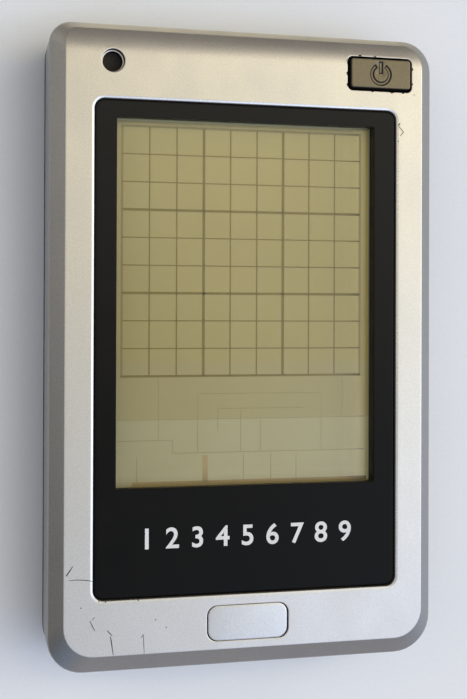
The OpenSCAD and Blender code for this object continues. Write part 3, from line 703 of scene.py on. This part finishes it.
def moulded(name, dark, light, roughness, grain=0.35, depth=0.02, edge=0.0, **inputs):
    """Moulded plastic or rubber with a fine grain and a little unevenness."""
    f = Finish(name, **inputs)
    fine, broad = f.noise(grain, 3), f.noise(9, 3)
    f.set(Base_Color=f.ramp(f.mix(0.5, fine, broad), [(0.3, dark), (0.7, light)]),
          Roughness=f.ramp(broad, [(0.3, roughness - 0.05), (0.7, roughness + 0.06)]))
    return f.bump(fine, depth, 0.6, edge)


def ink(name, dark, light):
    """A film of the display, as dull as the display itself."""
    return moulded(name, dark, light, 0.55, 0.25, 0.002, Specular_IOR_Level=0.2)


def silver_paint(name, dark, light, smooth=0.29, metallic=0.85, turn=None):
    """Silver paint, which may turn to another shade between two places along the case.

    The other shade holds up to its reach from the middle line and fades out beyond. The turn paints light or
    shade into the colour: painted light on the bevel's head strip, painted shade on the lip's foot end.
    """
    f = Finish(name, Metallic=metallic)
    flake, smear = f.noise(0.22, 2), f.noise(7, 4, (1, 0.6, 1))
    colour = f.ramp(flake, [(0.25, dark), (0.75, light)])
    if turn:
        # The other shade is painted light or painted shade, not a change of paint
        start, end, shade, reach = turn
        fade = 8
        along = f.between(f.axis("Y"), start, end)
        across = f.between(f.math("ABSOLUTE", f.axis("X"), 0.0), reach + fade, reach)
        colour = f.mix(f.math("MULTIPLY", along, across), colour, shade)
    colour = f.mix(f.ramp(smear, [(0.35, 0.0), (0.75, 0.16)]), colour, dark)
    f.set(Base_Color=colour,
          Roughness=f.ramp(f.mix(0.4, smear, flake), [(0.3, smooth), (0.7, smooth + 0.1)]))
    return f.bump(f.mix(0.6, f.noise(0.5, 2), flake), 0.01, 0.22)


def bezel_finish():
    """Black plastic that turns paler towards the head end: painted light."""
    f = Finish("bezel_black", Specular_IOR_Level=0.1)
    fine, broad = f.noise(0.3, 3), f.noise(9, 3)
    mottle = f.mix(0.5, fine, broad)
    black = f.ramp(mottle, [(0.3, tint(4, 3, 2)), (0.7, tint(12, 11, 8))])
    # Paler black towards the head end: painted light, not dust
    head_painted_light = f.ramp(mottle, [(0.3, tint(28, 27, 24)), (0.7, tint(37, 35, 32))])
    f.set(Base_Color=f.mix(f.between(f.axis("Y"), -20, 50), black, head_painted_light),
          Roughness=f.ramp(broad, [(0.3, 0.31), (0.7, 0.42)]))
    return f.bump(fine, 0.008, 0.6)


def display_finish():
    """The olive display: paler zones at its lower end and fine specks, with painted light where the window's
    walls shade it: paler towards its upper and lower edges and much paler towards its right edge.
    """
    f = Finish("display", Specular_IOR_Level=0.2)
    span = 0.1

    def share(letter):
        return f.math("ADD", f.math("MULTIPLY", f.axis(letter), 1 / span), 0.5)

    def at(mm):
        return mm * MM / span + 0.5

    upper, middle, lower = tint(177, 161, 103), tint(173, 161, 115), tint(183, 177, 140)
    # The stops at -27 and -24 and from 40 up make the display paler towards its lower and upper edges:
    # painted light where the window's walls shade it. The zones between are the display's own.
    zones = f.ramp(share("Y"), [
        (at(-27), tint(212, 207, 172)), (at(-24), tint(187, 181, 144)), (at(-21.2), tint(185, 179, 141)),
        (at(-20.8), lower), (at(-14.5), lower), (at(-14.3), middle), (at(-3.6), middle),
        (at(-2.6), upper), (at(40), tint(184, 168, 110)), (at(44.4), tint(193, 177, 119)),
    ])
    speck = f.ramp(f.noise(0.18, 2), [(0.3, tint(165, 151, 98)), (0.7, tint(189, 176, 124))])
    cloud = f.noise(14, 2)
    colour = f.mix(0.25, zones, speck)
    colour = f.mix(f.ramp(cloud, [(0.4, 0.0), (0.8, 0.2)]), colour, tint(167, 153, 101))
    # Slightly darker at the left edge and up to 2.3 times paler towards the right edge: painted light where
    # the window's right wall shades the display
    edge_painted_light = f.ramp(share("X"), [
        (at(-26), 0.92), (at(0), 1.0), (at(18), 0.97), (at(20.5), 0.99), (at(22.5), 1.22),
        (at(23.5), 1.5), (at(25), 2.1), (at(26.5), 2.3),
    ])
    colour = f.mix(1.0, colour, edge_painted_light, "MULTIPLY")
    f.set(Base_Color=colour, Roughness=f.ramp(cloud, [(0.3, 0.5), (0.7, 0.6)]))
    return f.bump(f.noise(0.12, 2), 0.004, 0.15)


def touch_finish():
    """Clear panel: see-through, with the gloss of its surface."""
    f = Finish("touch_panel")
    f.tree.nodes.remove(f.shader)
    smear = f.noise(11, 4)
    gloss = f.node("ShaderNodeBsdfGlossy", Roughness=f.ramp(smear, [(0.3, 0.06), (0.75, 0.16)]))
    clear = f.node("ShaderNodeBsdfTransparent")
    clear.inputs["Color"].default_value = (0.97, 0.97, 0.95, 1)
    facing = f.node("ShaderNodeLayerWeight", Blend=0.5).outputs["Facing"]
    share = f.math("MULTIPLY", f.math("POWER", facing, 5.0), 0.6)
    both = f.node("ShaderNodeMixShader", Fac=f.math("ADD", share, 0.034))
    f.tree.links.new(clear.outputs["BSDF"], both.inputs[1])
    f.tree.links.new(gloss.outputs["BSDF"], both.inputs[2])
    f.tree.links.new(both.outputs["Shader"], f.tree.nodes["Material Output"].inputs["Surface"])
    return f


def metal(name, dark, light, stretch=(1, 8, 1)):
    """Brushed metal."""
    f = Finish(name, Metallic=1.0)
    brushed = f.noise(0.6, 3, stretch)
    f.set(Base_Color=f.ramp(brushed, [(0.3, dark), (0.7, light)]),
          Roughness=f.ramp(brushed, [(0.3, 0.26), (0.7, 0.42)]))
    return f.bump(brushed, 0.006, 0.4, 0.08)


def striped(name, letter, pitch, dark, light, roughness):
    """Stripes across one axis, as on a flat cable."""
    f = Finish(name)
    turns = f.math("FRACT", f.math("MULTIPLY", f.axis(letter), 1 / (pitch * MM)), 0.0)
    colour = f.ramp(turns, [(0.42, dark), (0.5, light), (0.92, light), (1.0, dark)])
    broad = f.noise(3, 3)
    f.set(Base_Color=f.mix(f.ramp(broad, [(0.4, 0.0), (0.8, 0.3)]), colour, dark),
          Roughness=f.ramp(broad, [(0.3, roughness), (0.7, roughness + 0.1)]))
    return f.bump(turns, 0.01, 0.3)


def board_finish():
    """Green lacquer over tracks and a woven base."""
    f = Finish("board", Coat_Weight=0.3)
    weave, broad = f.noise(0.5, 3), f.noise(4, 2, (1, 3, 1))
    ground, track = tint(32, 84, 52), tint(52, 116, 70)
    tracks = f.ramp(broad, [(0.49, ground), (0.5, track), (0.56, track), (0.57, ground)])
    threads = f.ramp(weave, [(0.3, tint(24, 60, 38)), (0.7, tint(70, 130, 84))])
    f.set(Base_Color=f.mix(0.18, tracks, threads), Roughness=f.ramp(weave, [(0.3, 0.36), (0.7, 0.5)]))
    return f.bump(f.mix(0.5, weave, broad), 0.02, 0.4)


def jacket_finish():
    """Printed sleeve of a cell: a dark body with a copper-coloured end, and bare metal at its ends."""
    f = Finish("cell_jacket", Metallic=0.55)
    span = 0.06
    across = f.math("ADD", f.math("MULTIPLY", f.axis("X"), 1 / span), 0.5)
    body = tint(36, 38, 44)
    bands = f.ramp(across, [(0.0, tint(176, 172, 166)), (0.135, body), (0.66, body),
                            (0.665, tint(176, 116, 62)), (0.87, tint(186, 182, 176))])
    rub = f.noise(2.5, 4, (0.4, 1, 1))
    f.set(Base_Color=f.mix(f.ramp(rub, [(0.5, 0.0), (0.85, 0.35)]), bands, tint(150, 146, 140)),
          Roughness=f.ramp(rub, [(0.3, 0.26), (0.7, 0.42)]))
    return f.bump(rub, 0.01, 0.3)


finishes = {
    "silver": silver_paint("silver_paint", tint(182, 178, 171), tint(204, 200, 193)),
    # Darker paint of the bevel and sides; its paler tan strip at the head end is painted light
    "silver_side": silver_paint("silver_side", tint(143, 142, 139), tint(163, 162, 159), 0.34, 0.8,
                                turn=(HALF_L - 4, HALF_L - 0.8, tint(212, 203, 181), 31)),
    # Paler paint of the lip round the bezel opening is a painted highlight; its darker turn at the foot end
    # is painted shade that takes the highlight back there
    "silver_lip_highlight": silver_paint("silver_lip_highlight", tint(200, 200, 199), tint(217, 217, 216), 0.22,
                                turn=(-46, -48, tint(172, 178, 192), HALF_W)),
    "silver_key": silver_paint("silver_key", tint(183, 181, 177), tint(205, 203, 198)),
    "olive_key": moulded("power_key_paint", tint(102, 94, 72), tint(128, 114, 84), 0.42, 0.3, 0.015,
                         Metallic=0.35),
    "black": bezel_finish(),
    "bare": moulded("bare_plastic", tint(14, 13, 12), tint(26, 25, 23), 0.5, 0.4, 0.02,
                    Specular_IOR_Level=0.2),
    "charcoal": moulded("charcoal_plastic", tint(24, 25, 27), tint(38, 39, 42), 0.5, 0.45, 0.05, 0.3,
                        Specular_IOR_Level=0.15),
    "stylus": moulded("stylus_plastic", tint(22, 22, 24), tint(38, 38, 40), 0.32, 0.4, 0.01, 0.15),
    "foam": moulded("foam", tint(18, 18, 18), tint(44, 44, 44), 0.85, 0.3, 0.08),
    "tape": moulded("tape", tint(14, 14, 14), tint(30, 30, 30), 0.6, 0.5, 0.02),
    "holder": moulded("holder_plastic", tint(196, 194, 186), tint(222, 220, 213), 0.48, 0.5, 0.02),
    "resin": moulded("resin", tint(12, 12, 13), tint(32, 32, 33), 0.3, 1.2, 0.03),
    "sleeve": moulded("sleeve", tint(30, 42, 84), tint(52, 66, 116), 0.32, 0.6, 0.01),
    "silicone": moulded("key_silicone", tint(96, 92, 82), tint(124, 119, 107), 0.6, 0.4, 0.02),
    "carbon": moulded("carbon", tint(22, 22, 22), tint(48, 48, 48), 0.7, 0.25, 0.03),
    "display": display_finish(),
    "touch": touch_finish(),
    "nickel": metal("nickel_steel", tint(168, 168, 166), tint(214, 213, 210)),
    "cable": striped("flat_cable", "X", 1.0, tint(122, 78, 34), tint(196, 138, 70), 0.3),
    "ribbon": striped("ribbon_cable", "X", 1.0, tint(96, 96, 102), tint(168, 168, 174), 0.34),
    "zebra": striped("zebra_rubber", "X", 0.2, tint(28, 26, 28), tint(176, 120, 128), 0.6),
    "board": board_finish(),
    "jacket": jacket_finish(),
    "grid": ink("grid_ink", tint(120, 105, 46), tint(136, 120, 58)),
    "grid_edge": ink("grid_edge_ink", tint(141, 127, 76), tint(152, 137, 86)),
    # Paler ink of the right outer grid line: painted light against the wall's shade
    "grid_painted_light": ink("grid_painted_light_ink", tint(184, 169, 115), tint(194, 179, 125)),
    "traces": ink("trace_film", tint(143, 133, 88), tint(153, 143, 97)),
    "trace_bar": ink("trace_bar", tint(172, 151, 101), tint(182, 161, 111)),
    # Pale strips round the window: painted light, not a spacer
    "rim": moulded("window_edge_painted_light", tint(162, 155, 120), tint(176, 169, 134), 0.5, 0.3, 0.002,
                   Specular_IOR_Level=0.1),
    # Dark finish of the power key's side walls and sign grooves: painted shade
    "sign": moulded("key_shade_groove", tint(18, 14, 10), tint(34, 28, 20), 0.7, 0.2, 0.01),
    "buzzer": moulded("buzzer_black", tint(40, 38, 35), tint(51, 48, 45), 0.5, 0.4, 0.02,
                      Specular_IOR_Level=0.2),
    # Felt over the buzzer's port: painted shade down the sound hole
    "felt": moulded("felt", tint(54, 50, 46), tint(70, 65, 60), 0.85, 0.25, 0.06, Specular_IOR_Level=0.1),
    "wear": moulded("worn_paint", tint(40, 36, 30), tint(72, 66, 56), 0.7, 0.15, 0.02),
    "numbers": moulded("number_ink", tint(212, 212, 210), tint(236, 236, 233), 0.45, 0.2, 0.004),
}


def dress(piece, *names):
    """Gives a piece its finishes, in the order of the marks on its faces."""
    marks = [polygon.material_index for polygon in piece.data.polygons]
    piece.data.materials.clear()
    for name in names:
        piece.data.materials.append(finishes[name].material)
    if len(names) > 1:
        piece.data.polygons.foreach_set("material_index", marks)


for finish, names in {
    "charcoal": ["rear_cover", "battery_door"],
    "foam": ["screen_gasket"],
    "touch": ["touch_panel"],
    "tape": ["panel_tape"],
    "cable": ["touch_tail"],
    "ribbon": ["key_ribbon"],
    "display": ["lcd_panel"],
    "holder": ["lcd_holder"],
    "zebra": ["zebra_strip"],
    "board": ["main_board", "key_board"],
    "resin": ["controller_chip"],
    "buzzer": ["buzzer"],
    "sleeve": ["capacitor"],
    "carbon": ["power_key_pill", "front_key_pill"],
    "silicone": ["power_key_mat", "front_key_mat"],
    "jacket": ["upper_battery", "lower_battery"],
    "nickel": ["plus_contact", "minus_contact", "bridge_contact", "crystal", "case_screws", "board_screws"],
    "stylus": ["stylus"],
}.items():
    for name in names:
        dress(nodes[name], finish)


# Pieces of the scene

def place(piece, names, body, slot, node=None):
    """Dresses a piece, attaches it to the body that it rides on, and hides the node that it stands for. The
    slot is not used.
    """
    dress(piece, *names)
    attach(piece, body)
    if node:
        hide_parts(node)


place(make_front_cover(), ["silver", "silver_side", "silver_lip_highlight", "bare"], "case",
      "silver_paint", "front_cover")
place(make_bezel(), ["black"], "case", "black_plastic", "screen_bezel")
place(make_power_key(), ["olive_key", "sign"], "power_key", "key_silicone", "power_button")
place(make_front_key(), ["silver_key"], "front_key", "silver_key", "front_button")
place(make_grid(), ["grid", "grid_edge", "grid_painted_light"], "case", "display_glass")
place(make_traces(), ["traces", "trace_bar"], "case", "display_glass")
place(make_panel_rim(), ["rim"], "case", "touch_glass")
place(make_felt(), ["felt"], "case", "foam")
place(make_wear(), ["wear", "bare"], "case", "silver_paint")
place(make_numbers(), ["numbers"], "case", "black_plastic")


# Floor, light and camera

def make_floor():
    """A plain pale floor under the rear cover."""
    mesh = bpy.data.meshes.new("floor")
    reach, low = 6.0, -0.1 * MM
    corners = [(-reach, -reach, low), (reach, -reach, low), (reach, reach, low), (-reach, reach, low)]
    mesh.from_pydata(corners, [], [(0, 1, 2, 3)])
    floor = bpy.data.objects.new("floor", mesh)
    bpy.context.scene.collection.objects.link(floor)
    f = Finish("floor", Specular_IOR_Level=0.25)
    fine, broad = f.noise(0.7, 3), f.noise(30, 3)
    shades = [(0.3, tint(233, 235, 238)), (0.7, tint(239, 240, 242))]
    f.set(Base_Color=f.ramp(f.mix(0.5, fine, broad), shades),
          Roughness=f.ramp(broad, [(0.3, 0.55), (0.7, 0.7)]))
    f.bump(fine, 0.01, 0.3)
    floor.data.materials.append(f.material)


# Light of the surroundings, from the dim left to the bright right, and its tone from the foot to the head end
SKY_WAY, TONE_WAY = (0.64, 0.08, 0.76), (-0.3, 0.954, 0)
SKY_STOPS = ((0.0, (0.46,) * 3), (0.4, (0.4,) * 3), (0.72, (0.75,) * 3), (1.0, (1.78,) * 3))
TONE_STOPS = (
    (0.2, (0.8, 0.92, 1.22)),
    (0.32, (1.14, 1.33, 1.84)),
    (0.38, (1.04, 1.14, 1.24)),
    (0.44, (0.84, 0.85, 0.79)),
    (0.48, (0.93, 0.89, 0.75)),
    (0.53, (1.25, 1.17, 0.88)),
    (0.58, (1.80, 1.63, 1.18)),
    (0.64, (1.12, 1.02, 0.84)),
    (0.73, (0.36, 0.32, 0.29)),
    (0.9, (0.2, 0.18, 0.15)),
)

# Patches of the surroundings: the way to them, the cosines where they start and are full, and their colour
DIM_PATCHES = (
    ((-0.85, -0.5, 0.15), 0.76, 0.97, (0.13, 0.11, 0.1)),
    ((0.5, 0.68, 0.53), 0.9, 0.985, (0.7, 0.7, 0.72)),
    ((0.08, -0.13, 1.0), 0.974, 0.996, (0.6, 0.6, 0.59)),
)
LIT_PATCHES = (
    ((0.0, 0.94, -0.34), 0.83, 0.95, (1.6, 1.46, 1.2)),
    ((-0.9, 0.35, 0.25), 0.84, 0.98, (0.5, 0.47, 0.42)),
    ((-0.62, 0.6, 0.5), 0.86, 0.97, (0.45, 0.43, 0.4)),
    ((-0.62, -0.76, 0.2), 0.9, 0.985, (0.0, 0.2, 0.46)),
    ((0.15, -0.97, 0.15), 0.88, 0.97, (0.24, 0.14, 0.04)),
    ((0.96, -0.25, 0.12), 0.93, 0.985, (0.0, 0.1, 0.3)),
    ((-0.62, -0.2, 0.76), 0.82, 0.97, (0.09, 0.15, 0.3)),
    ((0.06, 0.74, 0.67), 0.965, 0.995, (0.14, 0.13, 0.12)),
    ((0.18, -0.3, 0.94), 0.984, 0.998, (0.42, 0.42, 0.48)),
)


def make_world():
    """Soft surroundings: bright overhead and to the right, with soft brighter and dimmer patches."""
    world = bpy.data.worlds.new("studio")
    bpy.context.scene.world = world
    world.use_nodes = True
    tree = world.node_tree
    way = tree.nodes.new("ShaderNodeTexCoord").outputs["Generated"]

    def ramp(value, stops, how="EASE"):
        node = tree.nodes.new("ShaderNodeValToRGB")
        tree.links.new(value, node.inputs["Fac"])
        node.color_ramp.interpolation = how
        bands = node.color_ramp.elements
        while len(bands) < len(stops):
            bands.new(0.5)
        for band, (at, colour) in zip(bands, stops):
            band.position, band.color = at, (*colour, 1)
        return node.outputs["Color"]

    def blend(how, a, b):
        node = tree.nodes.new("ShaderNodeMix")
        node.data_type, node.blend_type = "RGBA", how
        node.inputs["Factor"].default_value = 1.0
        tree.links.new(a, node.inputs[6])
        tree.links.new(b, node.inputs[7])
        return node.outputs[2]

    def toward(axis):
        node = tree.nodes.new("ShaderNodeVectorMath")
        node.operation = "DOT_PRODUCT"
        tree.links.new(way, node.inputs[0])
        node.inputs[1].default_value = Vector(axis).normalized()
        return node.outputs["Value"]

    lift = tree.nodes.new("ShaderNodeMath")
    lift.operation = "MULTIPLY_ADD"
    tree.links.new(toward(TONE_WAY), lift.inputs[0])
    lift.inputs[1].default_value, lift.inputs[2].default_value = 0.5, 0.5
    sky = ramp(toward(SKY_WAY), SKY_STOPS)
    light = blend("MULTIPLY", sky, ramp(lift.outputs["Value"], TONE_STOPS, "LINEAR"))
    for axis, start, full, colour in LIT_PATCHES:
        light = blend("ADD", light, ramp(toward(axis), [(start, (0.0, 0.0, 0.0)), (full, colour)]))
    for axis, start, full, colour in DIM_PATCHES:
        light = blend("MULTIPLY", light, ramp(toward(axis), [(start, (1.0, 1.0, 1.0)), (full, colour)]))
    background = tree.nodes["Background"]
    tree.links.new(light, background.inputs["Color"])
    background.inputs["Strength"].default_value = 1.0


def add_softbox(name, at, size, power, colour):
    """A rectangular lamp that faces the part."""
    light = bpy.data.lights.new(name, "AREA")
    light.shape = "RECTANGLE"
    light.size, light.size_y = size
    light.energy = power
    light.color = colour
    lamp = bpy.data.objects.new(name, light)
    lamp.location = at
    lamp.rotation_euler = (-Vector(at)).to_track_quat("-Z", "Y").to_euler()
    bpy.context.scene.collection.objects.link(lamp)


# The camera: the picture's height, focal length and lens shift in pixels, its sensor, its turns and its place
FRAME_H, FOCAL, SHIFT = 699, 1204.8, 43.8
SENSOR_H = 36.0
TURN_X, TURN_Y, TURN_Z = -0.0063, 0.2408, -0.0049
EYE = (-59.5, 6.65, 247.4)


def add_camera():
    """The photograph's viewing angle. The lens shift keeps the upright lines of its frame."""
    camera = bpy.data.cameras.new("camera")
    camera.sensor_fit = "VERTICAL"
    camera.sensor_height = SENSOR_H
    camera.lens = SENSOR_H * FOCAL / FRAME_H
    camera.shift_y = -SHIFT / FRAME_H
    camera.clip_start, camera.clip_end = 0.01, 10
    rows = (Matrix.Diagonal((1, -1, -1)) @ Matrix.Rotation(TURN_Z, 3, "Z") @ Matrix.Rotation(TURN_Y, 3, "Y")
            @ Matrix.Rotation(TURN_X, 3, "X"))
    right, down, forward = rows[0], rows[1], rows[2]
    eye = Vector(EYE) * MM
    holder = bpy.data.objects.new("camera", camera)
    holder.matrix_world = Matrix(((right[0], -down[0], -forward[0], eye.x),
                                  (right[1], -down[1], -forward[1], eye.y),
                                  (right[2], -down[2], -forward[2], eye.z),
                                  (0, 0, 0, 1)))
    bpy.context.scene.collection.objects.link(holder)
    bpy.context.scene.camera = holder


make_floor()
make_world()
add_softbox("key_light", (0.95, 0.1, 0.85), (0.6, 0.6), 2, (1.0, 0.98, 0.95))
add_camera()
bpy.context.scene.view_settings.view_transform = "Standard"
